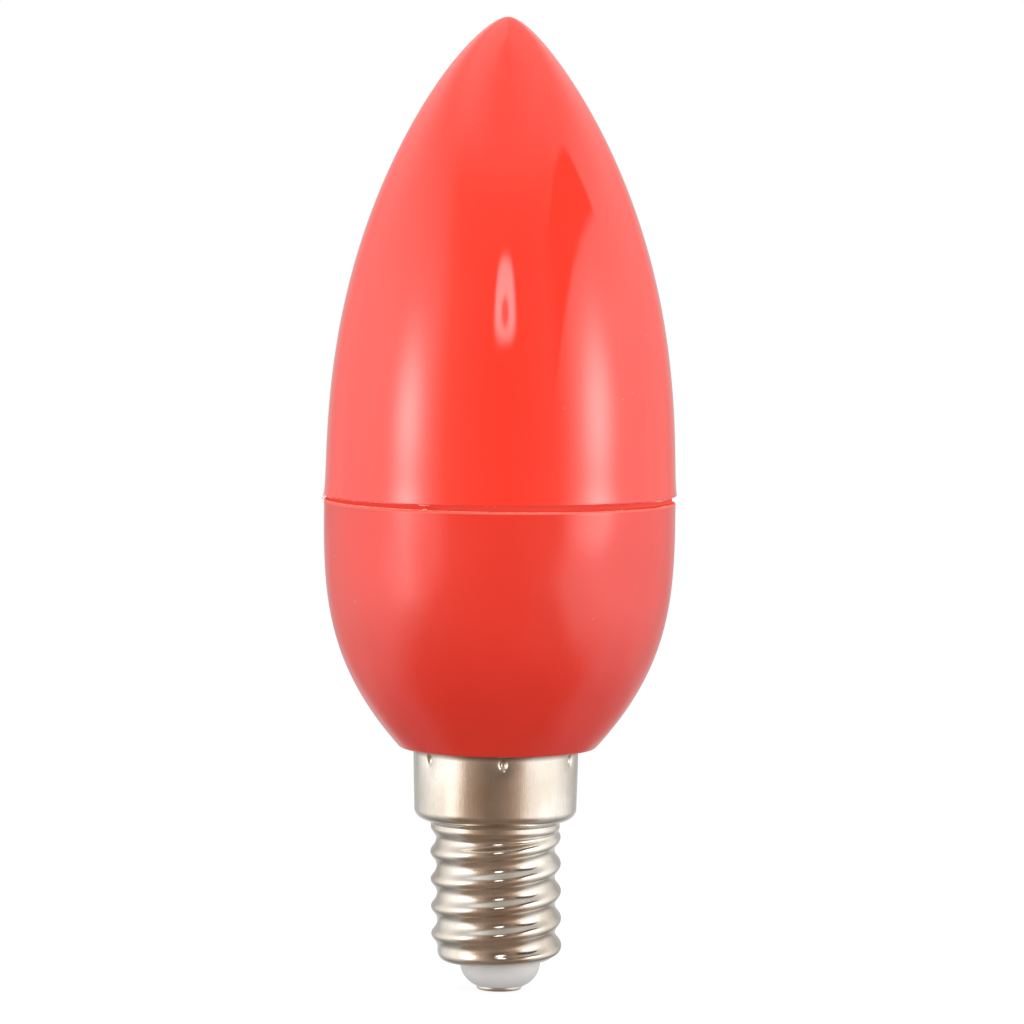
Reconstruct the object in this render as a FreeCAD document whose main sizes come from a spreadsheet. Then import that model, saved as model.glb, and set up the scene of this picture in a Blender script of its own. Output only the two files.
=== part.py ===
# LED candle bulb with a small screw cap, in red plastic.
# It stands on its contact with the tip up: Z is the lamp's axis, and z = 0 is the contact's end face.
# Millimetres and degrees. The view that shows the joint wider on the right looks along +Y.
import os

import FreeCAD
import Part
import Sketcher

SIZES = {
    # The whole lamp, and the levels of its pieces
    "lamp_length": (100.0, "contact face to tip"),
    "cap_height": (25.0, "contact face to the top edge of the screw shell"),
    "housing_length": (25.4, "flat underside to the rim, on the axis"),
    "joint_gap": (0.56, "open joint between housing and diffuser, on the axis"),
    "joint_skew": (0.08, "how far each rim rises or falls from the axis to the side"),
    # Diffuser
    "diffuser_radius": (17.91, "at its rim"),
    "diffuser_side_pull": (15.55, "height over which the outline leaves the rim upright"),
    "diffuser_flank_inset": (1.13, "pole of the outline between rim and tip, in from the rim"),
    "diffuser_flank_drop": (17.96, "that pole below the tip"),
    "diffuser_tip_pull": (4.21, "width over which the outline arrives level at the tip"),
    "spigot_inset": (1.11, "collar that stands in the housing, in from the diffuser's rim"),
    "spigot_depth": (3.2, "collar's end below the housing's rim"),
    "spigot_overlap": (3.0, "collar's root inside the diffuser"),
    "spigot_clearance": (0.15, "collar to socket, on the radius"),
    # Housing
    "housing_step": (0.07, "how far its rim stands out past the diffuser's"),
    "housing_side_pull": (8.8, "height over which the outline leaves the rim upright"),
    "housing_flank_swell": (0.04, "pole of the outline between rim and underside, out from the rim"),
    "housing_flank_rise": (8.87, "that pole above the underside"),
    "housing_foot_radius": (10.0, "where the outline meets the flat underside"),
    "housing_foot_round": (0.7, "rounding of that edge"),
    "neck_length": (6.0, "neck that the screw shell is crimped to"),
    "neck_clearance": (0.12, "neck to skirt at its tight end, on the radius"),
    "neck_chamfer": (0.5, "lead-in at the neck's end"),
    # Screw shell, drawn and rolled from thin sheet
    "sheet": (0.3, "thickness of the drawn sheet"),
    "skirt_radius": (8.45, "outside, at the top edge"),
    "skirt_foot_radius": (8.32, "outside, above the lower corner"),
    "skirt_length": (7.5, "top edge to shoulder"),
    "skirt_corner": (1.1, "outer radius of the corner at the shoulder"),
    "shoulder_fillet": (0.3, "shoulder into the plain ring"),
    "ring_radius": (6.75, "plain ring above the thread, outside"),
    "ring_length": (0.9, "shoulder to the ring's lower edge"),
    "ring_taper": (0.7, "height in which the ring falls to the thread's root"),
    "thread_radius": (6.7, "at the crest"),
    "thread_depth": (0.7, "crest to root"),
    "thread_pitch": (2.822, "nine turns to the inch"),
    "thread_level": (4.45, "height of the lowest crest on the right-hand side"),
    "thread_land": (0.1, "plain strip left between two turns"),
    "thread_sink": (0.8, "depth to which the ridge is rooted in the wall"),
    "base_level": (2.9, "underside of the screw shell"),
    "base_corner": (1.2, "outer radius of the corner at the underside"),
    "dent_count": (6.0, "crimp dents round the skirt"),
    "dent_turn": (35.5, "angle of the first dent from the right-hand side"),
    "dent_drop": (1.05, "dents below the top edge"),
    "dent_depth": (0.35, "punch mark in the skirt"),
    "dent_radius": (0.45, "punch mark where it meets the skirt"),
    "dent_boss_radius": (0.8, "bump that each dent raises inside"),
    "dent_clearance": (0.1, "bump to its recess in the neck"),
    # Insulator and contact, which sit a little to the right of the lamp's axis
    "insulator_offset": (0.45, "axis of insulator and contact from the lamp's"),
    "insulator_radius": (4.14, "where it leaves the screw shell"),
    "insulator_clearance": (0.05, "insulator to the hole in the shell"),
    "insulator_side": (0.15, "upright side below the shell"),
    "insulator_bowl": (3.0, "radius of the bowl's side in section"),
    "insulator_foot_radius": (2.4, "flat end that the contact lies on"),
    "flange_clearance": (0.05, "flange to where the shell's base begins to curve"),
    "flange_thickness": (1.5, "flange that holds it inside the shell"),
    "contact_radius": (2.2, "contact disc"),
    "contact_thickness": (0.5, "contact disc"),
    "contact_round": (0.35, "rounding of its lower edge"),
    "pin_radius": (1.0, "pin that holds the contact in the insulator"),
    "pin_length": (2.4, "pin above the disc"),
    "pin_clearance": (0.05, "pin to its hole"),
}

doc = FreeCAD.newDocument("led_candle_bulb")
sheet = doc.addObject("Spreadsheet::Sheet", "Sizes")
for row, (alias, (number, note)) in enumerate(SIZES.items(), start=1):
    sheet.set(f"A{row}", note)
    sheet.set(f"B{row}", str(number))
    sheet.setAlias(f"B{row}", alias)
doc.recompute()


# Sums of sizes. A sum is words such as "cap_height - skirt_length + sheet*0.5".

def amount(text):
    """The number that a sum of sizes comes to."""
    total, sign = 0.0, 1
    for word in text.split():
        if word in ("+", "-"):
            sign = 1 if word == "+" else -1
            continue
        name, _, share = word.partition("*")
        total += sign * (SIZES[name][0] if name in SIZES else float(name)) * float(share or 1)
    return total


def formula(text):
    """The same sum as an expression on the sheet's cells."""
    return " ".join(f"Sizes.{word}" if word.partition("*")[0] in SIZES else word for word in text.split())


# Sketches

def plane(body, role):
    """One of the body's own origin planes or axes."""
    return next(item for item in body.Origin.OriginFeatures if item.Role == role)


def sketch(body, label, turn="0", role="XZ_Plane"):
    """An empty sketch on an origin plane, turned about the plane's own upright by an angle."""
    drawn = body.newObject("Sketcher::SketchObject", label)
    drawn.AttachmentSupport = (plane(body, role), [""])
    drawn.MapMode = "FlatFace"
    if turn != "0":
        upright = FreeCAD.Vector(0, 1, 0)
        drawn.AttachmentOffset = FreeCAD.Placement(FreeCAD.Vector(), FreeCAD.Rotation(upright, amount(turn)))
        drawn.setExpression("AttachmentOffset.Rotation.Angle", formula(turn))
    return drawn


def tie(drawn, geometry, end, spot):
    """Holds a point of a sketch at a spot, which is two sums: from the lamp's axis, and up from the base."""
    for kind, text in zip(("DistanceX", "DistanceY"), spot):
        if text == "0":
            drawn.addConstraint(Sketcher.Constraint("PointOnObject", geometry, end, -2 if kind == "DistanceX" else -1))
            continue
        index = drawn.addConstraint(Sketcher.Constraint(kind, -1, 1, geometry, end, amount(text)))
        drawn.setExpression(f"Constraints[{index}]", formula(text))


def vector(spot):
    return FreeCAD.Vector(amount(spot[0]), amount(spot[1]), 0)


def add_line(drawn, start, end):
    """A straight stretch. Like the next two, it gives the geometry's number and its first and last ends."""
    return drawn.addGeometry(Part.LineSegment(vector(start), vector(end))), 1, 2


def add_arc(drawn, start, end, radius, side):
    """An arc with its centre on the left of the run from start to end if side is 1, and on the right if -1."""
    first, last = vector(start), vector(end)
    half = (last - first) * 0.5
    across = FreeCAD.Vector(-half.y, half.x, 0).normalize()
    reach = max(amount(radius) ** 2 - half.Length ** 2, 0.0) ** 0.5
    centre = first + half + across * (side * reach)
    middle = centre - across * (side * amount(radius))
    number = drawn.addGeometry(Part.Arc(first, middle, last))
    index = drawn.addConstraint(Sketcher.Constraint("Radius", number, amount(radius)))
    drawn.setExpression(f"Constraints[{index}]", formula(radius))
    return (number, 1, 2) if side == 1 else (number, 2, 1)


def add_curve(drawn, start, end, poles):
    """One smooth curve that leaves start towards the first pole and reaches end from the last."""
    points = [vector(spot) for spot in (start, *poles, end)]
    number = drawn.addGeometry(Part.BSplineCurve(points, None, None, False, len(points) - 1, None, False))
    drawn.exposeInternalGeometry(number)
    for offset, pole in enumerate(poles, start=2):
        tie(drawn, number + offset, 3, pole)
    return number, 1, 2


def outline(drawn, spots, bends=None):
    """A closed outline through spots, with straight stretches apart from those that bends gives by number."""
    ends = []
    for index, start in enumerate(spots):
        end = spots[(index + 1) % len(spots)]
        make, *shape = (bends or {}).get(index, (add_line,))
        ends.append(make(drawn, start, end, *shape))
        tie(drawn, ends[-1][0], ends[-1][1], start)
    for (before, _, last), (after, first, _) in zip(ends, ends[1:] + ends[:1]):
        drawn.addConstraint(Sketcher.Constraint("Coincident", before, last, after, first))
    return drawn


def circle(body, label, across, radius, level):
    """A circle that lies level, with its centre at a distance to the right of the body's axis."""
    drawn = sketch(body, label, role="XY_Plane")
    drawn.AttachmentOffset = FreeCAD.Placement(FreeCAD.Vector(0, 0, amount(level)), FreeCAD.Rotation())
    drawn.setExpression("AttachmentOffset.Base.z", formula(level))
    upright = FreeCAD.Vector(0, 0, 1)
    drawn.addGeometry(Part.Circle(FreeCAD.Vector(amount(across), 0, 0), upright, amount(radius)))
    tie(drawn, 0, 3, (across, "0"))
    index = drawn.addConstraint(Sketcher.Constraint("Radius", 0, amount(radius)))
    drawn.setExpression(f"Constraints[{index}]", formula(radius))
    return drawn


# Features

def feature(body, kind, drawn, axis="V_Axis"):
    """A feature from a sketch, about one of the sketch's own axes if it needs an axis."""
    made = body.newObject("PartDesign::" + kind, f"{drawn.Label}_{kind.lower()}")
    made.Profile = drawn
    if axis:
        made.ReferenceAxis = (drawn, [axis])
    return made


def revolve(body, label, spots, bends=None, kind="Revolution"):
    """A closed outline turned round the lamp's axis, to add to the body or, with kind Groove, to cut it."""
    return feature(body, kind, outline(sketch(body, label), spots, bends))


def cut_across(body, label, spots, reach):
    """A straight cut through the whole body, along the view that shows its outline."""
    cut = feature(body, "Pocket", outline(sketch(body, label), spots), axis=None)
    cut.SideType = "Symmetric"
    cut.setExpression("Length", formula(reach))
    return cut


def helix(body, kind, label, start, spots, turns, flare=None):
    """A closed outline carried round the lamp's axis at the thread's pitch, from start turns, outwards at flare."""
    made = feature(body, kind, outline(sketch(body, label, f"{360 * start}"), spots))
    made.Mode = "pitch-turns-angle"
    made.setExpression("Pitch", "Sizes.thread_pitch")
    made.setExpression("Turns", turns)
    if flare:
        made.setExpression("Angle", flare)
    return made


def cones(body, label, spots, kind):
    """A cone that points at the lamp's axis at the dents' height: half its outline, turned about its own axis."""
    drawn = outline(sketch(body, label, "dent_turn"), spots)
    start, end = (vector(spot) for spot in spots[:2])
    axis = drawn.addGeometry(Part.LineSegment(start, end), True)
    for point, spot in zip((1, 2), spots[:2]):
        tie(drawn, axis, point, spot)
    return feature(body, kind, drawn, axis="Axis0")


def all_round(body, label, originals):
    """The same features at every dent round the lamp's axis."""
    pattern = body.newObject("PartDesign::PolarPattern", label)
    pattern.Originals = originals
    pattern.Axis = (plane(body, "Z_Axis"), [""])
    pattern.Angle = 360
    pattern.setExpression("Occurrences", "Sizes.dent_count")
    body.Tip = pattern
    return pattern


def round_edge(body, label, radius, level, size):
    """Rounds the circular edge of a given radius and level."""
    doc.recompute()
    before = body.Tip
    circles = [
        (abs(edge.Curve.Radius - amount(radius)) + abs(edge.CenterOfMass.z - amount(level)), number)
        for number, edge in enumerate(before.Shape.Edges, start=1)
        if isinstance(edge.Curve, Part.Circle)
    ]
    rounding = body.newObject("PartDesign::Fillet", label)
    rounding.Base = (before, [f"Edge{min(circles)[1]}"])
    rounding.setExpression("Radius", formula(size))
    return rounding


JOINT = "cap_height + housing_length"
DIFFUSER_RIM = f"{JOINT} + joint_gap"
SHOULDER = "cap_height - skirt_length"
SPIGOT = "diffuser_radius - spigot_inset"
HOUSING = "diffuser_radius + housing_step"


# Diffuser: a solid candle flame with a collar below, whose rim was trimmed a little out of true
def make_diffuser():
    body = doc.addObject("PartDesign::Body", "diffuser")
    poles = [
        ("diffuser_radius", f"{JOINT} + diffuser_side_pull"),
        ("diffuser_radius - diffuser_flank_inset", "lamp_length - diffuser_flank_drop"),
        ("diffuser_tip_pull", "lamp_length"),
    ]
    spots = [("0", JOINT), ("diffuser_radius", JOINT), ("0", "lamp_length")]
    revolve(body, "flame", spots, {1: (add_curve, poles)})
    low = f"{JOINT} - spigot_depth"
    cut_across(body, "diffuser_trim", [
        ("- diffuser_radius - joint_gap", low),
        ("diffuser_radius + joint_gap", low),
        ("diffuser_radius + joint_gap", f"{DIFFUSER_RIM} + joint_skew"),
        ("- diffuser_radius - joint_gap", f"{DIFFUSER_RIM} - joint_skew"),
    ], "diffuser_radius*4")
    revolve(body, "spigot", [
        ("0", low),
        (SPIGOT, low),
        (SPIGOT, f"{DIFFUSER_RIM} + spigot_overlap"),
        ("0", f"{DIFFUSER_RIM} + spigot_overlap"),
    ])
    return body


# Housing: a cup below the joint, its rim out of true the other way, with the neck that holds the cap
def make_housing():
    body = doc.addObject("PartDesign::Body", "housing")
    top = f"{JOINT} + joint_gap"
    neck = "skirt_foot_radius - sheet - neck_clearance"
    end = "cap_height - neck_length"
    spots = [
        ("0", end),
        (f"{neck} - neck_chamfer", end),
        (neck, f"{end} + neck_chamfer"),
        (neck, "cap_height"),
        ("housing_foot_radius", "cap_height"),
        (HOUSING, JOINT),
        (HOUSING, top),
        ("0", top),
    ]
    poles = [
        (f"{HOUSING} + housing_flank_swell", "cap_height + housing_flank_rise"),
        (HOUSING, f"{JOINT} - housing_side_pull"),
    ]
    revolve(body, "cup", spots, {4: (add_curve, poles)})
    cut_across(body, "housing_trim", [
        ("- diffuser_radius - joint_gap", f"{JOINT} + joint_skew"),
        ("diffuser_radius + joint_gap", f"{JOINT} - joint_skew"),
        ("diffuser_radius + joint_gap", f"{top} + joint_gap"),
        ("- diffuser_radius - joint_gap", f"{top} + joint_gap"),
    ], "diffuser_radius*4")
    socket = f"{SPIGOT} + spigot_clearance"
    revolve(body, "socket", [
        ("0", f"{JOINT} - spigot_depth"),
        (socket, f"{JOINT} - spigot_depth"),
        (socket, top),
        ("0", top),
    ], kind="Groove")
    round_edge(body, "foot_round", "housing_foot_radius", "cap_height", "housing_foot_round")
    level = "cap_height - dent_drop"
    recess = cones(body, "recess", [
        ("skirt_radius - dent_depth - sheet - dent_clearance", level),
        ("skirt_radius - sheet", level),
        ("skirt_radius - sheet", f"{level} + dent_boss_radius + dent_clearance"),
    ], "Groove")
    all_round(body, "recesses", [recess])
    return body


# Screw shell: one drawn cup of thin sheet with a rolled thread, pierced at the base and crimped at the skirt
ROOT = "thread_radius - thread_depth"


def ridge(turns, inset, shares):
    """The thread's section, turns after the crest on the right-hand side and drawn in by inset.

    Its points are shares of half the pitch up from the crest, and of the thread's depth out from the root.
    """
    inner = f"{ROOT} - {inset}"
    points = []
    for along, out in [*shares, *((-along, out) for along, out in reversed(shares) if along)]:
        level = f"thread_level + thread_pitch*{turns + along / 2} - thread_land*{along / 2}"
        points.append((f"{inner} + thread_depth*{out}", level))
    low, high = points[0][1], points[-1][1]
    return [*points, (f"{inner} - thread_sink", high), (f"{inner} - thread_sink", f"{low} - thread_sink")]


# Half the section of a rounded thread: two parabolas that meet halfway up, one round the root and one the crest
ROUNDED = [(-1, 0), (-0.75, 0.125), (-0.5, 0.5), (-0.25, 0.875), (0, 1)]
# Inside, the sheet follows the ridge as a plain trapezium
PRESSED = [(-0.75, 0), (-0.15, 0.9)]
# Turns from the crest on the right: where the ridge starts inside the wall, where it is whole, and where
# the hollow behind it begins
START, WHOLE, HOLLOW = -0.7, -0.1, 0.3
# Thread depths by which the ridge starts inside the wall
SUNK = 2


def make_screw_shell():
    body = doc.addObject("PartDesign::Body", "screw_shell")
    ring_foot = f"{SHOULDER} - ring_length"
    base_flat = f"{ROOT} - base_corner"
    revolve(body, "drawn_cup", [
        ("0", "base_level"),
        (base_flat, "base_level"),
        (ROOT, "base_level + base_corner"),
        (ROOT, f"{ring_foot} - ring_taper"),
        ("ring_radius", ring_foot),
        ("ring_radius", f"{SHOULDER} - shoulder_fillet"),
        ("ring_radius + shoulder_fillet", SHOULDER),
        ("skirt_foot_radius - skirt_corner", SHOULDER),
        ("skirt_foot_radius", f"{SHOULDER} + skirt_corner"),
        ("skirt_radius", "cap_height"),
        ("0", "cap_height"),
    ], {
        1: (add_arc, "base_corner", 1),
        5: (add_arc, "shoulder_fillet", -1),
        7: (add_arc, "skirt_corner", 1),
    })
    climb = f"({formula(SHOULDER)} + Sizes.thread_land - Sizes.thread_level) / Sizes.thread_pitch"
    growth = WHOLE - START
    flare = f"atan({SUNK} * Sizes.thread_depth / ({growth} * Sizes.thread_pitch))"
    helix(body, "AdditiveHelix", "thread", WHOLE, ridge(WHOLE, "0", ROUNDED), f"{climb} - {WHOLE}")
    helix(body, "AdditiveHelix", "thread_start", START, ridge(START, f"thread_depth*{SUNK}", ROUNDED),
          f"{growth}", flare)
    # The thread's lower end runs off along an arc from the flat base to the crest
    run_off = "thread_depth + base_corner"
    revolve(body, "run_off", [
        ("0", "base_level"),
        (base_flat, "base_level"),
        ("thread_radius", f"base_level + {run_off}"),
        ("skirt_radius", f"base_level + {run_off}"),
        ("skirt_radius", "0"),
        ("0", "0"),
    ], {1: (add_arc, run_off, 1)}, kind="Groove")
    bore = f"{ROOT} - sheet"
    revolve(body, "hollow", [
        ("0", "base_level + sheet"),
        (base_flat, "base_level + sheet"),
        (bore, "base_level + base_corner"),
        (bore, f"{ring_foot} - ring_taper"),
        ("ring_radius - sheet", ring_foot),
        ("ring_radius - sheet", f"{SHOULDER} + sheet"),
        ("skirt_foot_radius - skirt_corner", f"{SHOULDER} + sheet"),
        ("skirt_foot_radius - sheet", f"{SHOULDER} + skirt_corner"),
        ("skirt_radius - sheet", "cap_height"),
        ("skirt_radius - sheet", "cap_height + sheet"),
        ("0", "cap_height + sheet"),
    ], {
        1: (add_arc, "base_corner - sheet", 1),
        6: (add_arc, "skirt_corner - sheet", 1),
    }, kind="Groove")
    helix(body, "SubtractiveHelix", "thread_hollow", HOLLOW, ridge(HOLLOW, "sheet", PRESSED),
          f"{climb} - {HOLLOW}")
    hole = circle(body, "hole", "insulator_offset", "insulator_radius + insulator_clearance", "base_level")
    pierced = feature(body, "Pocket", hole, axis=None)
    pierced.SideType = "Symmetric"
    pierced.setExpression("Length", formula("base_corner*2"))
    level = "cap_height - dent_drop"
    boss = cones(body, "boss", [
        ("skirt_radius - dent_depth - sheet", level),
        ("skirt_radius - sheet*0.5", level),
        ("skirt_radius - sheet*0.5", f"{level} + dent_boss_radius"),
    ], "Revolution")
    dent = cones(body, "dent", [
        ("skirt_radius - dent_depth", level),
        ("skirt_radius + dent_depth", level),
        ("skirt_radius + dent_depth", f"{level} + dent_radius*2"),
    ], "Groove")
    all_round(body, "dents", [boss, dent])
    return body


# Insulator: a bowl below the screw shell, and inside it a flange that lies on the base, true to the shell
def make_insulator():
    body = doc.addObject("PartDesign::Body", "insulator")
    seat = "base_level + sheet"
    revolve(body, "bowl", [
        ("0", "contact_thickness"),
        ("insulator_foot_radius", "contact_thickness"),
        ("insulator_radius", "base_level - insulator_side"),
        ("insulator_radius", seat),
        ("0", seat),
    ], {1: (add_arc, "insulator_bowl", 1)})
    flange = "thread_radius - thread_depth - base_corner - flange_clearance"
    disc = feature(body, "Pad", circle(body, "flange", "- insulator_offset", flange, seat), axis=None)
    disc.setExpression("Length", "Sizes.flange_thickness")
    pin_hole = "pin_radius + pin_clearance"
    pin_hole_end = "contact_thickness + pin_length + pin_clearance"
    revolve(body, "pin_hole", [
        ("0", "0"),
        (pin_hole, "0"),
        (pin_hole, pin_hole_end),
        ("0", pin_hole_end),
    ], kind="Groove")
    return body


# Centre contact: a disc with a pin that holds it in the insulator
def make_contact():
    body = doc.addObject("PartDesign::Body", "centre_contact")
    revolve(body, "disc", [
        ("0", "0"),
        ("contact_radius - contact_round", "0"),
        ("contact_radius", "contact_round"),
        ("contact_radius", "contact_thickness"),
        ("pin_radius", "contact_thickness"),
        ("pin_radius", "contact_thickness + pin_length"),
        ("0", "contact_thickness + pin_length"),
    ], {1: (add_arc, "contact_round", 1)})
    return body


pieces = [make_diffuser(), make_housing(), make_screw_shell()]
for piece in (make_insulator(), make_contact()):
    piece.setExpression("Placement.Base.x", "Sizes.insulator_offset")
    pieces.append(piece)

doc.recompute()
for item in doc.Objects:
    if "Invalid" in item.State or "Error" in item.State:
        raise RuntimeError(f"{item.Label} failed: {item.State}")
os.makedirs("parts", exist_ok=True)
for piece in pieces:
    shape = piece.Shape
    if shape.isNull() or not shape.isValid() or len(shape.Solids) != 1:
        raise RuntimeError(f"{piece.Label} isn't one valid solid")
    shape.exportStep(f"parts/{piece.Label}.step")
    print(f"{piece.Label}: {shape.Volume:.1f} mm3, {len(shape.Faces)} faces")
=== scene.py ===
"""The looks of a red LED candle bulb: flame, cup, nickel screw cap, white insulator and centre contact.

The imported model's frame is kept: Z is the lamp's axis, tip up, and the photograph looks along +Y.
Pieces are worked out in millimetres and become metres when their mesh is made. The studio is in metres.
"""
import math

import bpy
import numpy as np
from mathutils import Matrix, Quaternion, Vector


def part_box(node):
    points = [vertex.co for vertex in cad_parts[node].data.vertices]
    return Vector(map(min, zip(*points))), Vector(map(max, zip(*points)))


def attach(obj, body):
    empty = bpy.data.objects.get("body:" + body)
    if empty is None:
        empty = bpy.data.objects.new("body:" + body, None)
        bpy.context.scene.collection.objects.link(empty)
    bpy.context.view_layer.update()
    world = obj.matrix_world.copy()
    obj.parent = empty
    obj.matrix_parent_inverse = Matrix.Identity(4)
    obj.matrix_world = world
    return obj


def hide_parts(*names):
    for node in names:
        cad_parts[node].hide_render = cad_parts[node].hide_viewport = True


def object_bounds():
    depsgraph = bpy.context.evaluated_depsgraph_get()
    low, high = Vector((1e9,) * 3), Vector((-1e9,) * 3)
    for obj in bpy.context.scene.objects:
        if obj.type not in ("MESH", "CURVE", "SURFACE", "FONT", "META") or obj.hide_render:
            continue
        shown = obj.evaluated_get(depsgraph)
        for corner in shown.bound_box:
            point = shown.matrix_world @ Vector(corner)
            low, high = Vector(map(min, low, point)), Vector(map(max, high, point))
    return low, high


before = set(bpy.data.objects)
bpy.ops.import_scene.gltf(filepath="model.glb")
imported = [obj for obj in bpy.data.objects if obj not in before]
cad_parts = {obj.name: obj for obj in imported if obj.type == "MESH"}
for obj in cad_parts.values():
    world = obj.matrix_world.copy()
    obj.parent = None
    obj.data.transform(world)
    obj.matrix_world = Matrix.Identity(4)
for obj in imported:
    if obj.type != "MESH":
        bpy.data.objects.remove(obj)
cad_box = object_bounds()
MM = 0.001

# Sizes read from the frame, in millimetres
LAMP_LENGTH = cad_box[1].z / MM
DIFFUSER_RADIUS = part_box("diffuser")[1].x / MM
DIFFUSER_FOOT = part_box("diffuser")[0].z / MM
HOUSING_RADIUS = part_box("housing")[1].x / MM
NECK_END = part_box("housing")[0].z / MM
CAP_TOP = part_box("screw_shell")[1].z / MM
CAP_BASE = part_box("screw_shell")[0].z / MM
SKIRT_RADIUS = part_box("screw_shell")[1].x / MM
INSULATOR_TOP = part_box("insulator")[1].z / MM
CONTACT_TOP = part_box("centre_contact")[1].z / MM
CONTACT_RADIUS = (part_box("centre_contact")[1].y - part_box("centre_contact")[0].y) / 2 / MM
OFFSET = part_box("centre_contact")[1].x / MM - CONTACT_RADIUS

# Joint between flame and cup: the cup's rim, the gap, and how far each rim leans at the flame's radius
JOINT = 50.4
JOINT_GAP = 0.56
JOINT_SKEW = 0.08
FLAME_RIM = JOINT + JOINT_GAP

# Collar of the flame in the cup's socket, and the bead on it that shows in the joint
BEAD_RADIUS = 17.58
BEAD_FOOT = JOINT - 0.05
BEAD_BEVEL = 0.05
COLLAR_RADIUS = 16.8
COLLAR_CHAMFER = 0.2
SOCKET_RADIUS = 16.95

# Rims: rounding, the flame's flare and torn flash, whose tufts are an angle, a half width and a height
RIM_EDGE = 0.12
RIM_FLARE = 0.16
RIM_FLARE_LENGTH = 1.07
FLASH_HEIGHT = 0.28
FLASH_CUT = 0.42
FLASH_HALF_THICKNESS = 0.035
FLAME_TUFTS = [(186, 5, 0.25), (335, 17, 0.28), (246, 3, 0.15)]
CUP_TUFTS = [(246.2, 1.2, 0.3), (183, 4, 0.2), (340, 8, 0.15)]

# Outlines of flame and cup: poles of one smooth curve each, as radius and height
TIP = LAMP_LENGTH - 0.28
FLAME = [(DIFFUSER_RADIUS, JOINT), (DIFFUSER_RADIUS, 65.95), (16.78, 82.0), (3.85, TIP), (0, TIP)]
CUP = [(HOUSING_RADIUS, JOINT), (HOUSING_RADIUS, 41.3), (18.02, 33.87), (10.0, CAP_TOP)]
CUP_FOOT_ROUND = 0.7

# Leans of the real lamp to the photograph's right, as shifts and slopes, and the thread's tilt to the back
FLAME_SHIFT = 0.2
FLAME_LEAN = 0.0035
TIP_LEAN = 0.2
TIP_LEAN_LENGTH = 7.0
CUP_SHIFT = 0.16
THREAD_LEAN = 0.018
THREAD_TURN = 0.022
THREAD_TILT = 0.38

# Neck inside the cap
NECK_RADIUS = 7.9
NECK_CHAMFER = 0.5

# Screw shell: sheet, skirt and shoulder
SHEET = 0.3
SKIRT_FOOT_RADIUS = 8.32
SKIRT_LENGTH = 7.5
SKIRT_FLARE = 0.12
SKIRT_FLARE_LENGTH = 0.8
SKIRT_CORNER = 1.2
SKIRT_CORNER_WIDTH = 1.7
SHOULDER_FILLET = 0.3
SHOULDER = CAP_TOP - SKIRT_LENGTH

# Screw shell: plain ring, thread and base
RING_RADIUS = 6.62
RING_LENGTH = 0.7
RING_TAPER = 1.1
THREAD_ROOT = 6.07
THREAD_DEPTH = 0.63
THREAD_PITCH = 2.822
THREAD_LEVEL = 4.45
THREAD_LAND = 0.1
THREAD_START = -0.55
THREAD_WHOLE = -0.05
THREAD_FADE = 0.6
CREST_SHARE = 0.4
BLEND_SHARPNESS = 14
SHELL_BASE = CAP_BASE + 0.12
BASE_CORNER = 1.05
BASE_HOLE = 4.19

# Crimp dents, each a narrow mark in a wide shallow dish, and how far the mesh's columns draw together there
DENTS = 6
DENT_TURN = math.radians(35.5)
DENT_LEVEL = CAP_TOP - 0.9
DENT_DEPTH = 0.32
DENT_WIDTH = 0.36
DENT_HEIGHT = 0.5
DISH_DEPTH = 0.14
DISH_WIDTH = 1.2
COLUMN_PULL = 0.6

# Insulator and contact
INSULATOR_RADIUS = 4.14
INSULATOR_SIDE = 0.15
INSULATOR_BOWL = 2.6
INSULATOR_FOOT = 2.5
FOOT_SHIFT = 0.18
FLANGE_RADIUS = 4.3
CONTACT_THICKNESS = 0.45
CONTACT_ROUND = 0.3
BACK_ROUND = 0.05
CONTACT_EXTRA = 0.14
CONTACT_SHIFT = -0.08
CONTACT_HOLLOW = 0.06
PIN_RADIUS = 1.0


# Outlines. An outline is an array of radius and height.

def bezier(poles, shares):
    """One Bezier curve: at each share of the way, the poles weighted by their Bernstein terms."""
    degree = len(poles) - 1
    weights = [math.comb(degree, k) * shares**k * (1 - shares)**(degree - k) for k in range(degree + 1)]
    return np.stack(weights, axis=1) @ np.array(poles, float)


def arc(centre, radius, first, last, count):
    """Points of a circle round centre, from angle first to angle last in degrees."""
    turn = np.radians(np.linspace(first, last, count))
    return np.stack([centre[0] + radius * np.cos(turn), centre[1] + radius * np.sin(turn)], axis=1)


def straight(first, last, count):
    """Evenly spaced points from first to last."""
    share = np.linspace(0, 1, count)[:, None]
    return np.array(first) * (1 - share) + np.array(last) * share


def smooth(value):
    """Rises from 0 to 1 without a kink as value does: three times its square less twice its cube."""
    value = np.clip(value, 0, 1)
    return value * value * (3 - 2 * value)


def lathe(outline, angles):
    """Each point of an outline goes round the lamp's axis: its radius times cosine and sine, at its height."""
    radius, level = outline[:, :1], outline[:, 1:]
    return np.stack([radius * np.cos(angles), radius * np.sin(angles), level + 0 * angles], axis=2)


# Meshes

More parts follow.
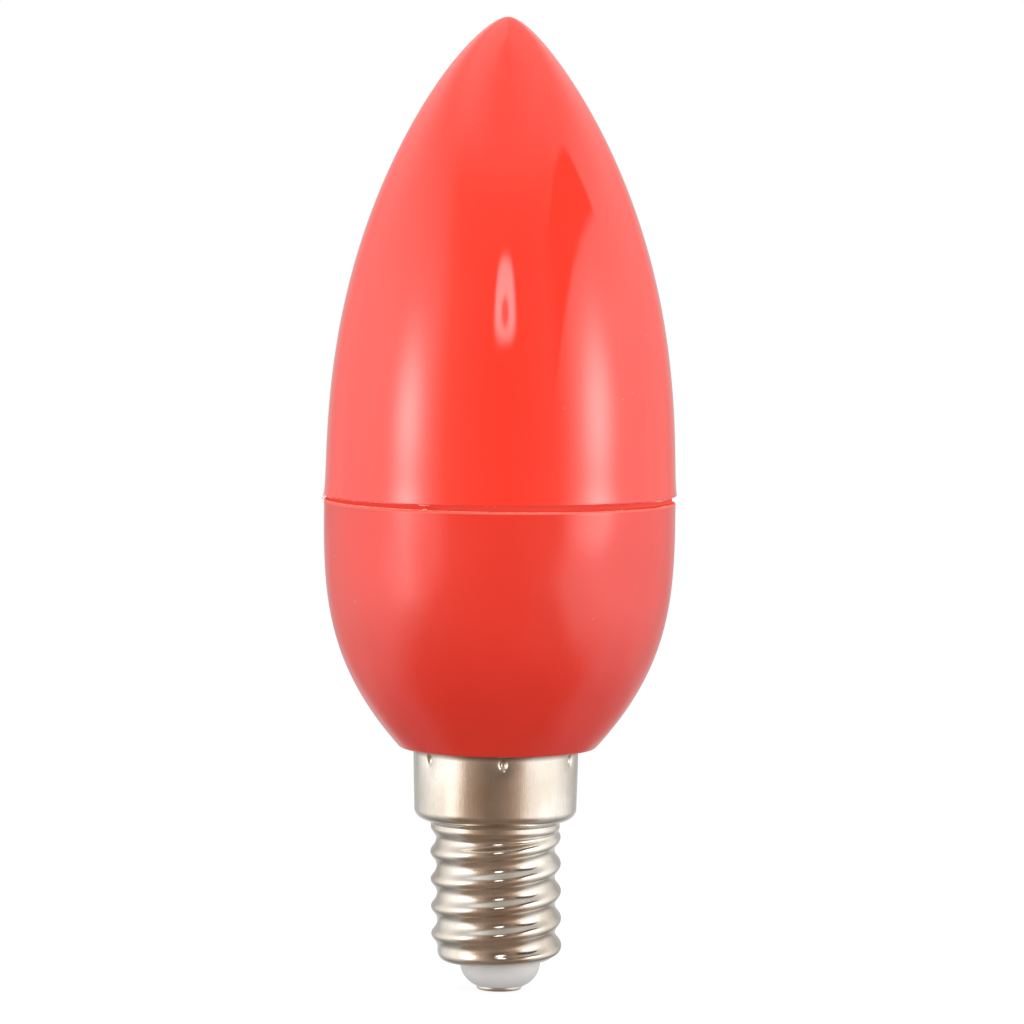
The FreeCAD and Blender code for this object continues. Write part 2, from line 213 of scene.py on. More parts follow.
def cover(name, grid, material, node=None):
    """A closed mesh over a grid of points, whose rows run round the lamp's axis and close on themselves.

    Rows that follow each other are joined by quads. If the first row lies on the axis, it and the last row
    are one point each, joined by a fan. Otherwise the last row joins the first.
    """
    columns = grid.shape[1]
    poles = np.ptp(grid[0], axis=0).max() < 1e-9
    inner = grid[1:-1] if poles else grid
    points = inner.reshape(-1, 3)
    numbers = np.arange(len(points)).reshape(-1, columns)
    upper, lower = (numbers[:-1], numbers[1:]) if poles else (numbers, np.roll(numbers, -1, axis=0))
    beside = [np.roll(row, -1, axis=1) for row in (lower, upper)]
    faces = np.stack([upper, lower, *beside], axis=2).reshape(-1, 4).tolist()
    if poles:
        for row, pole, back in ((numbers[0], grid[0, 0], 1), (numbers[-1], grid[-1, 0], -1)):
            ends = np.stack([row, np.roll(row, -1)], axis=1)[:, ::back]
            faces += np.insert(ends, 0, len(points), axis=1).tolist()
            points = np.vstack([points, pole])
    mesh = bpy.data.meshes.new(name)
    mesh.from_pydata(points * MM, [], faces)
    mesh.materials.append(material)
    mesh.shade_smooth()
    piece = bpy.data.objects.new(name, mesh)
    bpy.context.scene.collection.objects.link(piece)
    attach(piece, "root")
    if node:
        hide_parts(node)
    return piece


def round_axis(count):
    """Evenly spaced angles for one turn."""
    return np.linspace(0, 2 * math.pi, count, endpoint=False)


def jagged(angles, knots, seed):
    """A broken line round the axis: random heights from 0 to 1 at evenly spaced knots, joined straight."""
    heights = np.random.default_rng(seed).random(knots)
    return np.interp(angles / (2 * math.pi) * knots, np.arange(knots + 1), [*heights, heights[0]])


def skew(grid, level, rise, above, below):
    """Tilts the points near a level: they rise by a share of their x, which fades out above and below it."""
    away = grid[..., 2] - level
    fade = smooth(1 - away / np.where(away > 0, above, -below))
    grid[..., 2] += rise * grid[..., 0] / DIFFUSER_RADIUS * fade


# Flame and cup

def make_diffuser(material):
    """The flame's curve, a small rounded rim, the bead, the collar below it and a flat end.

    Above the rim the radius gains a flare times e to the minus height over its length. Then the rim is
    skewed, and the whole leans by a slope and, near the tip, by the square of the way to it.
    """
    curve = bezier(FLAME, np.linspace(1, 0, 150))
    outline = np.vstack([
        curve[curve[:, 1] > FLAME_RIM + RIM_EDGE * 2],
        arc((DIFFUSER_RADIUS - RIM_EDGE, FLAME_RIM + RIM_EDGE), RIM_EDGE, 0, -90, 6),
        straight((BEAD_RADIUS + BEAD_BEVEL, FLAME_RIM), (BEAD_RADIUS, FLAME_RIM - BEAD_BEVEL), 3),
        straight((BEAD_RADIUS, BEAD_FOOT + BEAD_BEVEL), (BEAD_RADIUS - BEAD_BEVEL, BEAD_FOOT), 2),
        straight((COLLAR_RADIUS, BEAD_FOOT - BEAD_BEVEL), (COLLAR_RADIUS, DIFFUSER_FOOT + COLLAR_CHAMFER), 8),
        straight((COLLAR_RADIUS - COLLAR_CHAMFER, DIFFUSER_FOOT), (0, DIFFUSER_FOOT), 6),
    ])
    flare = RIM_FLARE * np.exp((FLAME_RIM - outline[:, 1]) / RIM_FLARE_LENGTH)
    outline[:, 0] += np.where((outline[:, 1] >= FLAME_RIM) & (outline[:, 0] > BEAD_RADIUS + 0.1), flare, 0)
    grid = lathe(outline, round_axis(400))
    skew(grid, FLAME_RIM, JOINT_SKEW, 4.0, 2.0)
    grid[..., 0] += FLAME_SHIFT + FLAME_LEAN * (grid[..., 2] - FLAME_RIM)
    grid[..., 0] += TIP_LEAN * np.clip((grid[..., 2] - LAMP_LENGTH) / TIP_LEAN_LENGTH + 1, 0, 1) ** 2
    piece = cover("flame", grid, material, "diffuser")
    piece.visible_glossy = False
    return piece


def make_housing(material):
    """A socket for the collar, a rounded rim, the cup's curve, its flat underside and the neck."""
    curve = bezier(CUP, np.linspace(0, 1, 120))
    lean = math.degrees(math.atan2(CUP[2][1] - CUP[3][1], CUP[2][0] - CUP[3][0]))
    foot = (CUP[3][0] - CUP_FOOT_ROUND * math.tan(math.radians(lean / 2)), CAP_TOP + CUP_FOOT_ROUND)
    rounded = arc(foot, CUP_FOOT_ROUND, lean - 90, -90, 10)
    kept = (curve[:, 1] < JOINT - RIM_EDGE * 2) & (curve[:, 1] > rounded[0, 1] + 0.05)
    floor = DIFFUSER_FOOT
    outline = np.vstack([
        straight((0, floor), (SOCKET_RADIUS, floor), 6),
        straight((SOCKET_RADIUS, floor + 0.1), (SOCKET_RADIUS, JOINT - 0.1), 8),
        straight((SOCKET_RADIUS + 0.1, JOINT), (HOUSING_RADIUS - RIM_EDGE * 1.5, JOINT), 3),
        arc((HOUSING_RADIUS - RIM_EDGE, JOINT - RIM_EDGE), RIM_EDGE, 90, 0, 6),
        curve[kept],
        rounded,
        straight((CUP[3][0] - 1, CAP_TOP), (NECK_RADIUS, CAP_TOP), 3),
        straight((NECK_RADIUS, CAP_TOP - 0.1), (NECK_RADIUS, NECK_END + NECK_CHAMFER), 4),
        straight((NECK_RADIUS - NECK_CHAMFER, NECK_END), (0, NECK_END), 4),
    ])
    grid = lathe(outline, round_axis(400))
    skew(grid, JOINT, -JOINT_SKEW, 2.0, 4.0)
    grid[..., 0] += CUP_SHIFT
    piece = cover("cup", grid, material, "housing")
    piece.visible_glossy = False
    return piece


def make_burr(name, radius, level, rise, way, seed, tufts, material):
    """Torn flash along a rim: a thin leaf, as high as a fine jagged line times a coarse one, less a cut.

    Its section is a leaning ellipse, and it stands up for way 1 and hangs down for way -1. Each tuft is an
    angle and a half width in degrees, and a height.
    """
    angles = round_axis(2400)
    height = FLASH_HEIGHT * np.clip(jagged(angles, 700, seed) * jagged(angles, 60, seed + 1) - FLASH_CUT, 0, 1)
    for turn, width, tall in tufts:
        away = np.abs((angles - math.radians(turn) + math.pi) % (2 * math.pi) - math.pi) / math.radians(width)
        height += tall * smooth(1 - away) * (0.35 + 0.65 * jagged(angles, 900, seed + 2))
    section = round_axis(6)[:, None]
    along = 0.5 * (1 - np.cos(section)) * (height + 0.02) - 0.04
    thick = FLASH_HALF_THICKNESS * np.sin(section) * (1 + 2 * height)
    out = radius + 0.45 * along + thick * 0.9
    up = level + rise * np.cos(angles) + way * (along * 0.8 - thick * 0.4)
    grid = np.stack([out * np.cos(angles), out * np.sin(angles), up], axis=2)
    return cover(name, grid if way > 0 else grid[::-1], material)


# Screw shell

def ridge(angles, level):
    """How far the rolled thread stands out, as a share of its depth.

    Each height's distance from the nearest crest, as a share of half the pitch, is put through two parabolas
    that meet without a kink, the crest's narrower than the root's. The ridge grows in above its start.
    """
    turns = (level - THREAD_LEVEL - THREAD_TILT * np.sin(angles)) / THREAD_PITCH - angles / (2 * math.pi)
    nearest = np.round(turns)
    away = np.clip(np.abs(turns - nearest) * 2 / (1 - THREAD_LAND / THREAD_PITCH), 0, 1)
    height = np.where(away < CREST_SHARE, 1 - away**2 / CREST_SHARE, (1 - away)**2 / (1 - CREST_SHARE))
    run = angles / (2 * math.pi) + nearest
    return height * smooth((run - THREAD_START) / (THREAD_WHOLE - THREAD_START))


def dents(angles, level):
    """How far the crimp marks go in, by distance from their centres.

    Each is e to the minus cube of the distance in a narrow mark, plus e to the minus square in a wide dish.
    """
    step = 2 * math.pi / DENTS
    across = ((angles - DENT_TURN + step / 2) % step - step / 2) * SKIRT_RADIUS
    above = level - DENT_LEVEL
    mark = (across / DENT_WIDTH)**2 + (above / DENT_HEIGHT)**2
    return DENT_DEPTH * np.exp(-mark**1.5) + DISH_DEPTH * np.exp(-(across**2 + above**2) / DISH_WIDTH**2)


def shell_outline():
    """The sheet's outer side from its top edge down to the base, and for each point 1 if the thread moves it.

    The skirt flares by the square of the way up its last stretch, and its lower corner is a widened arc.
    """
    flared = straight((SKIRT_RADIUS, CAP_TOP), (SKIRT_RADIUS, CAP_TOP - SKIRT_FLARE_LENGTH), 14)
    rise = (flared[:, 1] - CAP_TOP + SKIRT_FLARE_LENGTH) / SKIRT_FLARE_LENGTH
    flared[:, 0] += SKIRT_FLARE * np.clip(rise, 0, 1)**2
    wide = np.array([SKIRT_CORNER_WIDTH / SKIRT_CORNER, 1])
    corner = arc((0, 0), SKIRT_CORNER, 0, -90, 16) * wide
    corner += (SKIRT_FOOT_RADIUS - SKIRT_CORNER_WIDTH, SHOULDER + SKIRT_CORNER)
    parts = [
        (flared, 0),
        (straight((SKIRT_RADIUS, CAP_TOP - 0.85), (SKIRT_RADIUS - 0.04, CAP_TOP - 2.8), 40), 0),
        (straight((SKIRT_RADIUS - 0.045, CAP_TOP - 3), (SKIRT_FOOT_RADIUS, SHOULDER + SKIRT_CORNER + 0.2), 8),
         0),
        (corner, 0),
        (arc((RING_RADIUS + SHOULDER_FILLET, SHOULDER - SHOULDER_FILLET), SHOULDER_FILLET, 90, 180, 6), 0),
        (straight((THREAD_ROOT, SHOULDER - 0.4), (THREAD_ROOT, SHELL_BASE + BASE_CORNER + 0.1), 112), 1),
        (arc((THREAD_ROOT - BASE_CORNER, SHELL_BASE + BASE_CORNER), BASE_CORNER, 0, -90, 14), 1),
    ]
    outline = np.vstack([points for points, _ in parts])
    threaded = np.concatenate([np.full(len(points), zone) for points, zone in parts])
    return outline, threaded


def make_screw_shell(material):
    """The sheet's outer side with thread and dents, the pierced base, and the same side set in by the sheet.

    Ring and thread join by a soft maximum: the logarithm of the sum of their exponentials less 1. They stand
    out square to the sheet. Below the shoulder all is turned by a slope in x, and leans by another in height.
    """
    even = round_axis(324)
    angles = even - COLUMN_PULL * np.sin(DENTS * (even - DENT_TURN)) / DENTS
    outline, threaded = shell_outline()
    corner = smooth((outline[:, 1] - SHELL_BASE) / BASE_CORNER)
    slope = np.where(threaded > 0, np.arctan2(SHELL_BASE + BASE_CORNER - outline[:, 1], BASE_CORNER), 0)
    slope = np.clip(slope, 0, math.pi / 2)
    level = outline[:, 1:]
    ring = smooth((level - (SHOULDER - RING_LENGTH - RING_TAPER)) / RING_TAPER) * (RING_RADIUS - THREAD_ROOT)
    rolled = THREAD_DEPTH * ridge(angles, level) * smooth((SHOULDER - SHOULDER_FILLET - level) / THREAD_FADE)
    stood = np.log(np.exp(BLEND_SHARPNESS * ring) + np.exp(BLEND_SHARPNESS * rolled) - 1) / BLEND_SHARPNESS
    out = (threaded * corner)[:, None] * stood - (1 - threaded)[:, None] * dents(angles, level)
    radius = outline[:, :1] + out * np.cos(slope)[:, None]
    height = level - out * np.sin(slope)[:, None]
    outer = np.stack([radius * np.cos(angles), radius * np.sin(angles), height], axis=2)
    aside = OFFSET + FOOT_SHIFT - THREAD_LEAN * (SHOULDER - SHELL_BASE)
    hole = lathe(np.array([[BASE_HOLE, SHELL_BASE]]), angles)[0] + (aside, 0, 0)
    share = np.linspace(0, 1, 5)[1:, None, None]
    base = outer[-1] * (1 - share) + hole * share
    lift = np.array([0, 0, SHEET])
    flat = base[::-1] + lift
    inside = radius - SHEET
    inner = np.stack([inside * np.cos(angles), inside * np.sin(angles), height], axis=2)
    clear = (outline[:, 1] > SHELL_BASE + BASE_CORNER) & (np.arange(len(outline)) % 3 == 0)
    clear &= (outline[:, 1] < SHOULDER - 0.4) | (outline[:, 1] > SHOULDER + SKIRT_CORNER)
    grid = np.concatenate([outer, base, flat, inner[clear][::-1]])
    below = np.clip(SHOULDER - grid[..., 2], 0, None)
    across = np.clip(np.hypot(grid[..., 0], grid[..., 1]) / BASE_HOLE, 0, 1)
    grid[..., 2] += THREAD_TURN * grid[..., 0] * smooth(below / 4)
    grid[..., 0] += THREAD_LEAN * below * across
    return cover("cap_shell", grid, material, "screw_shell")


# Insulator and contact

def make_insulator(material):
    """A bowl turned round the contact's axis, and the flange that holds it inside the shell.

    The bowl's side is an arc of its radius through its two ends, whose centre is by Pythagoras.
    """
    top = CAP_BASE - INSULATOR_SIDE
    first, last = np.array([INSULATOR_RADIUS, top]), np.array([INSULATOR_FOOT, CONTACT_THICKNESS])
    half = (last - first) / 2
    reach = math.sqrt(INSULATOR_BOWL**2 - half @ half)
    centre = first + half + reach * np.array([half[1], -half[0]]) / np.linalg.norm(half)
    start, end = (math.degrees(math.atan2(*(spot - centre)[::-1])) for spot in (first, last))
    outline = np.vstack([
        straight((0, INSULATOR_TOP), (FLANGE_RADIUS, INSULATOR_TOP), 4),
        straight((FLANGE_RADIUS, SHELL_BASE + SHEET), (INSULATOR_RADIUS, SHELL_BASE + SHEET), 3),
        straight((INSULATOR_RADIUS, CAP_BASE), (INSULATOR_RADIUS, top + 0.02), 3),
        arc(centre, INSULATOR_BOWL, start, end, 28),
        straight((INSULATOR_FOOT - 0.02, CONTACT_THICKNESS - 0.02), (0, CONTACT_THICKNESS - 0.02), 5),
    ])
    grid = lathe(outline, round_axis(256))
    grid[..., 0] += OFFSET + FOOT_SHIFT
    return cover("insulator_bowl", grid, material, "insulator")


def make_contact(material):
    """A disc with a rounded lower edge and a faintly hollow end, and its pin."""
    radius = CONTACT_RADIUS + CONTACT_EXTRA
    outline = np.vstack([
        straight((0, CONTACT_TOP), (PIN_RADIUS, CONTACT_TOP), 3),
        straight((PIN_RADIUS, CONTACT_TOP - 0.1), (PIN_RADIUS, CONTACT_THICKNESS + 0.1), 4),
        straight((PIN_RADIUS + 0.1, CONTACT_THICKNESS), (radius - 0.06, CONTACT_THICKNESS), 3),
        arc((radius - BACK_ROUND, CONTACT_THICKNESS - BACK_ROUND), BACK_ROUND, 90, 0, 4),
        arc((radius - CONTACT_ROUND, CONTACT_ROUND), CONTACT_ROUND, 0, -90, 12),
        straight((radius - CONTACT_ROUND - 0.1, 0), (0, 0), 12),
    ])
    end = outline[:, 1] < 1e-6
    outline[end, 1] += CONTACT_HOLLOW * smooth(1 - outline[end, 0] / (radius - CONTACT_ROUND))
    grid = lathe(outline, round_axis(192))
    grid[..., 0] += OFFSET + FOOT_SHIFT + CONTACT_SHIFT
    return cover("contact_disc", grid, material, "centre_contact")


# Materials

# Colours; tones are the two ends of a mottled colour
FLAME_TONES = [(0.93, 0.038, 0.020, 1), (0.96, 0.044, 0.024, 1)]
FLAME_DUST = (0.86, 0.10, 0.07, 1)
# Painted light: the bead's lighter red stands in for light that the translucent lip lets into the joint
BEAD_PAINTED_LIGHT_RED = (0.97, 0.080, 0.050, 1)
CUP_TONES = [(0.78, 0.027, 0.013, 1), (0.83, 0.032, 0.016, 1)]
CUP_DUST = (0.72, 0.09, 0.06, 1)
# Painted highlight: the paler pink-red of the cup's rim stands in for the pale catch-light along it
RIM_HIGHLIGHT_RED = (0.93, 0.16, 0.11, 1)
TORN_TONES = [(0.88, 0.10, 0.07, 1), (0.95, 0.50, 0.42, 1)]
CAP_TONES = [(0.80, 0.75, 0.68, 1), (0.57, 0.49, 0.40, 1)]
CONTACT_TONES = [(0.84, 0.80, 0.74, 1), (0.66, 0.58, 0.48, 1)]
# Painted shade: a dark line on the nickel just under the cup
PAINTED_SHADE_BROWN = (0.13, 0.10, 0.08, 1)
WHITE_TONES = [(0.70, 0.68, 0.66, 1), (0.75, 0.73, 0.71, 1)]
CAP_ROUGHNESS = 0.12
CONTACT_ROUGHNESS = 0.34

# Where one colour or finish gives way to the next, as a first and a last height or radius in millimetres
BEAD_TOP = (51.5, 52.0)
BEAD_SIDE = (17.72, 17.78)
RIM_BAND = (JOINT - 0.28, JOINT - 0.12)
# Band of the painted shade under the cup
PAINTED_SHADE_BAND = (CAP_TOP - 0.62, CAP_TOP - 0.12)
SKIRT_FOOT = (16.8, 18.0)

# Relief in metres for a noise of 1, and how much stronger the soft waves are than the fine marks
FLAME_RELIEF = 0.00006
PLASTIC_RELIEF = 0.00001
NICKEL_RELIEF = 0.000004
CUP_WAVES = 45.0
NICKEL_WAVES = 8.0


def node_group(name, inputs, outputs):
    """An empty shader node group with named sockets, as (tree, its input node, its output node)."""
    tree = bpy.data.node_groups.new(name, "ShaderNodeTree")
    for label, kind, value in inputs:
        socket = tree.interface.new_socket(label, in_out="INPUT", socket_type=kind)
        if value is not None:
            socket.default_value = value
    for label, kind in outputs:
        tree.interface.new_socket(label, in_out="OUTPUT", socket_type=kind)
    return tree, tree.nodes.new("NodeGroupInput"), tree.nodes.new("NodeGroupOutput")


def feed(tree, node, **inputs):
    """Sets a node's inputs, called by name or as n and their number: a value, or an output to link."""
    for key, value in inputs.items():
        numbered = key[0] == "n" and key[1:].isdigit()
        socket = node.inputs[int(key[1:]) if numbered else key.replace("_", " ")]
        if isinstance(value, bpy.types.NodeSocket):
            tree.links.new(value, socket)
        else:
            socket.default_value = value
    return node


def add(tree, kind, settings=None, **inputs):
    """A new node with its settings, and its inputs fed."""
    node = tree.nodes.new(kind)
    for key, value in (settings or {}).items():
        setattr(node, key, value)
    return feed(tree, node, **inputs)


def worked(tree, operation, *values):
    """One step of arithmetic on up to three values or outputs."""
    inputs = {f"n{number}": value for number, value in enumerate(values)}
    return add(tree, "ShaderNodeMath", {"operation": operation}, **inputs).outputs[0]


def length_of(tree, vector):
    """The length of a vector."""
    return add(tree, "ShaderNodeVectorMath", {"operation": "LENGTH"}, n0=vector).outputs["Value"]


def height_of(tree, point):
    """The Z of a point."""
    return add(tree, "ShaderNodeSeparateXYZ", n0=point).outputs["Z"]


def make_streaks():
    """Fine marks drawn out along one direction: noise whose coordinates are squeezed by Stretch."""
    tree, given, result = node_group(
        "drawn_marks",
        [("Place", "NodeSocketVector", None), ("Scale", "NodeSocketFloat", 2000.0),
         ("Stretch", "NodeSocketVector", (1, 1, 1)), ("Detail", "NodeSocketFloat", 3.0)],
        [("Marks", "NodeSocketFloat")],
    )
    squeezed = add(tree, "ShaderNodeVectorMath", {"operation": "MULTIPLY"}, n0=given.outputs["Place"],
                   n1=given.outputs["Stretch"])
    noise = add(tree, "ShaderNodeTexNoise", Vector=squeezed.outputs[0], Scale=given.outputs["Scale"],
                Detail=given.outputs["Detail"])
    feed(tree, result, Marks=noise.outputs["Fac"])
    return tree


def make_specks():
    """Sparse dots of dust: the middles of scattered cells, cut off at Size, where a coarse noise is high."""
    tree, given, result = node_group(
        "specks",
        [("Place", "NodeSocketVector", None), ("Scale", "NodeSocketFloat", 700.0),
         ("Size", "NodeSocketFloat", 0.12)],
        [("Specks", "NodeSocketFloat")],
    )
    cells = add(tree, "ShaderNodeTexVoronoi", Vector=given.outputs["Place"], Scale=given.outputs["Scale"])
    dot = worked(tree, "LESS_THAN", cells.outputs["Distance"], given.outputs["Size"])
    patch = add(tree, "ShaderNodeTexNoise", Vector=given.outputs["Place"], Scale=90.0, Detail=2.0)
    some = worked(tree, "GREATER_THAN", patch.outputs["Fac"], 0.62)
    feed(tree, result, Specks=worked(tree, "MULTIPLY", dot, some))
    return tree


def place(tree, group, **inputs):
    """What one of the groups above gives in a material."""
    return add(tree, "ShaderNodeGroup", {"node_tree": group}, **inputs).outputs[0]


def finish_of(name, **settings):
    """A material as (material, its tree, its Principled shader, Object coordinates)."""
    material = bpy.data.materials.new(name)
    material.use_nodes = True
    tree = material.node_tree
    shader = feed(tree, tree.nodes["Principled BSDF"], **settings)
    return material, tree, shader, tree.nodes.new("ShaderNodeTexCoord").outputs["Object"]


def mixed(tree, share, first, second):
    """A colour between two colours by a share."""
    return add(tree, "ShaderNodeMix", {"data_type": "RGBA"}, n0=share, n6=first, n7=second).outputs[2]


def spread(tree, value, low, high, to_low, to_high):
    """A value stretched from one range to another, and held at its ends."""
    node = add(tree, "ShaderNodeMapRange", Value=value, n1=low, n2=high, n3=to_low, n4=to_high)
    return node.outputs["Result"]


def mottled(tree, noise, low, high, tones):
    """A colour that goes from the first tone to the second as a noise goes from low to high."""
    return mixed(tree, spread(tree, noise, low, high, 0, 1), *tones)


def step_over(tree, value, band, before, after):
    """One value before a band and another after it, the band being a first and a last place in millimetres."""
    return spread(tree, value, band[0] * MM, band[1] * MM, before, after)


def bumped(tree, height, distance):
    """A normal that is bent as if the surface rose by the height times the distance in metres."""
    return add(tree, "ShaderNodeBump", Height=height, Distance=distance, Strength=1.0).outputs["Normal"]


def red_gloss(streaks, specks):
    """Moulded translucent red with a high gloss: a faint cloudiness, hairline wipe marks and a few specks.

    The bead and collar, told by height and by distance from the flame's axis, are matt, with a lighter red
    that is painted light.
    """
    material, tree, shader, here = finish_of(
        "flame_gloss_red", Roughness=0.06, IOR=1.7, Subsurface_Weight=0.12, Subsurface_Scale=0.004,
        Subsurface_Radius=(1.0, 0.12, 0.08),
    )
    cloud = place(tree, streaks, Place=here, Scale=60.0, Stretch=(1, 1, 0.5), Detail=2.0)
    dust = place(tree, specks, Place=here, Scale=620.0, Size=0.07)
    tone = mixed(tree, dust, mottled(tree, cloud, 0.35, 0.65, FLAME_TONES), FLAME_DUST)
    flat = add(tree, "ShaderNodeVectorMath", {"operation": "MULTIPLY_ADD"}, n0=here, n1=(1, 1, 0),
               n2=(-FLAME_SHIFT * MM, 0, 0))
    low = step_over(tree, height_of(tree, here), BEAD_TOP, 1, 0)
    inner = step_over(tree, length_of(tree, flat.outputs[0]), BEAD_SIDE, 1, 0)
    # Bead and collar are matt, and painted a lighter red: painted light in the joint
    bead = worked(tree, "MULTIPLY", inner, low)
    wipes = place(tree, streaks, Place=here, Scale=900.0, Stretch=(1, 1, 0.08), Detail=2.0)
    gloss = spread(tree, wipes, 0.3, 0.7, 0.045, 0.08)
    feed(tree, shader, Base_Color=mixed(tree, bead, tone, BEAD_PAINTED_LIGHT_RED), Normal=bumped(tree, cloud, FLAME_RELIEF),
         Roughness=worked(tree, "MAXIMUM", gloss, bead))
    return material


def red_satin(streaks, specks):
    """Moulded satin red: fine grain on soft waves, rubbed hairlines down the side, dust, a matt rim with a
    painted highlight.
    """
    material, tree, shader, here = finish_of("cup_satin_red", Roughness=0.22, IOR=1.7)
    cloud = place(tree, streaks, Place=here, Scale=70.0, Stretch=(1, 1, 0.6), Detail=3.0)
    dust = place(tree, specks, Place=here, Scale=600.0, Size=0.08)
    tone = mixed(tree, dust, mottled(tree, cloud, 0.3, 0.7, CUP_TONES), CUP_DUST)
    # The rim is matt, and painted a paler red: a painted highlight along it
    rim = step_over(tree, height_of(tree, here), RIM_BAND, 0, 1)
    rubbed = place(tree, streaks, Place=here, Scale=700.0, Stretch=(1, 1, 0.05), Detail=2.0)
    gloss = spread(tree, worked(tree, "MULTIPLY_ADD", rubbed, 0.3, cloud), 0.5, 0.8, 0.165, 0.205)
    grain = place(tree, streaks, Place=here, Scale=2600.0, Stretch=(1, 1, 1), Detail=2.0)
    waves = place(tree, streaks, Place=here, Scale=130.0, Stretch=(1, 1, 0.7), Detail=1.0)
    relief = worked(tree, "MULTIPLY_ADD", waves, CUP_WAVES, grain)
    feed(tree, shader, Base_Color=mixed(tree, rim, tone, RIM_HIGHLIGHT_RED), Normal=bumped(tree, relief, PLASTIC_RELIEF),
         Roughness=worked(tree, "MAXIMUM", gloss, rim))
    return material


def torn_red():
    """Stress-whitened red where the rims are torn."""
    material, tree, shader, here = finish_of("torn_red", Roughness=0.5)
    noise = add(tree, "ShaderNodeTexNoise", Vector=here, Scale=1500.0, Detail=2.0)
    feed(tree, shader, Base_Color=mottled(tree, noise.outputs["Fac"], 0.35, 0.65, TORN_TONES))
    return material


def nickel(streaks, name, tones, rough):
    """Nickel plate: small stains, upright drawing marks in tone and relief, pits, and soft waves of sheet.

    The skirt is hazier than the thread and its marks are deeper. A painted shade, a dark line, runs under the
    cup.
    """
    material, tree, shader, here = finish_of(name, Metallic=1.0, Roughness=rough)
    drawn = place(tree, streaks, Place=here, Scale=8500.0, Stretch=(1, 1, 0.16), Detail=2.0)
    pitted = place(tree, streaks, Place=here, Scale=4200.0, Stretch=(1, 1, 0.5), Detail=3.0)
    waves = place(tree, streaks, Place=here, Scale=220.0, Stretch=(1, 1, 0.5), Detail=1.0)
    stain = place(tree, streaks, Place=here, Scale=160.0, Stretch=(1, 1, 0.6), Detail=3.0)
    tone = mottled(tree, stain, 0.35, 0.7, tones)
    tone = mixed(tree, spread(tree, drawn, 0.55, 0.72, 0, 0.5), tone, tones[1])
    level = height_of(tree, here)
    # Painted shade: the nickel darkens to a dark line just under the cup
    painted_shade = step_over(tree, level, PAINTED_SHADE_BAND, 0, 0.8)
    skirt = step_over(tree, level, SKIRT_FOOT, 0, 1)
    haze = worked(tree, "MULTIPLY_ADD", skirt, rough * 0.5, rough)
    haze = worked(tree, "MULTIPLY", haze, spread(tree, pitted, 0.3, 0.7, 0.8, 1.35))
    fine = worked(tree, "MULTIPLY", drawn, worked(tree, "MULTIPLY_ADD", skirt, 0.9, 0.4))
    fine = worked(tree, "MULTIPLY_ADD", pitted, worked(tree, "MULTIPLY_ADD", skirt, 0.4, 0.9), fine)
    relief = worked(tree, "MULTIPLY_ADD", waves, NICKEL_WAVES, fine)
    feed(tree, shader, Base_Color=mixed(tree, painted_shade, tone, PAINTED_SHADE_BROWN), Roughness=haze,
         Normal=bumped(tree, relief, NICKEL_RELIEF))
    return material


def white_plastic(streaks):
    """Plain off-white moulding with a soft sheen and a little grime."""
    material, tree, shader, here = finish_of(
        "insulator_white", Roughness=0.35, Subsurface_Weight=0.15, Subsurface_Scale=0.002,
        Subsurface_Radius=(1.0, 0.9, 0.8),
    )
    cloud = place(tree, streaks, Place=here, Scale=220.0, Stretch=(1, 1, 1), Detail=3.0)
    grain = place(tree, streaks, Place=here, Scale=2400.0, Stretch=(1, 1, 1), Detail=2.0)
    feed(tree, shader, Base_Color=mottled(tree, cloud, 0.3, 0.7, WHITE_TONES),
         Normal=bumped(tree, grain, PLASTIC_RELIEF))
    return material


# Studio. Directions are given from the lamp: azimuth to the right of the camera and elevation, in degrees.

MIDDLE = Vector((0, 0, 0.058))
LAMP_DISTANCE = 0.6
DOME_RADIUS = 0.35
SIDE_BOX = (0.40, 0.60, 2.0)
TOP_BOX = (0.60, 0.60, 1.5)
AMBIENT_BELOW = 0.24
AMBIENT_ABOVE = 1.17

# Dome's dark opening: where it begins by elevation, how it gives way by azimuth, and its glow by elevation
OPENING_NEARER = ([-9, -2], [0, 4.5])
OPENING_RIGHT = 6.5
OPENING_INWARD = ([-90, -62, -40, -27, -15, 10, 20, 27, 34, 40], [80, 60, 34, 11, 1, 0, 2, 4, 10, 16])
WALL_SHARE = ([10, 23, 38, 44, 51, 60, 72], [0, 0.07, 0.22, 0.48, 0.80, 0.92, 1])
OPENING_GLOW = (
    [-90, -60, -20, -10, -3, 15, 30, 38, 44, 50, 90],
    [0.22, 0.20, 0.27, 0.22, 0.15, 0.13, 0.18, 0.28, 0.42, 0.52, 0.58],
)
CHIN_SHADE = 0.2
WARM_TINT = np.array([1.30, 0.94, 0.73])

# Dome's walls: glow by elevation, dimming by azimuth behind the lamp, the light at the back, and hot middles
WALL_GLOW = ([-90, -65, -40, -27, -15, 15, 29, 36, 44], [0.3, 0.42, 0.62, 1.08, 1.45, 1.5, 1.1, 0.9, 0.7])
BEHIND_DIMMING = ([90, 106, 128, 144], [0, 0.17, 0.42, 0.62])
BACK_GLOW = 0.22
HOT_GLOW = 3.7
HOT_LEFT = -62
HOT_RIGHT = 65.5
HOT_LEVEL = 3.5
HOT_LOW_GLOW = 0.8
HOT_LOW_CENTRE = (-63, -11)

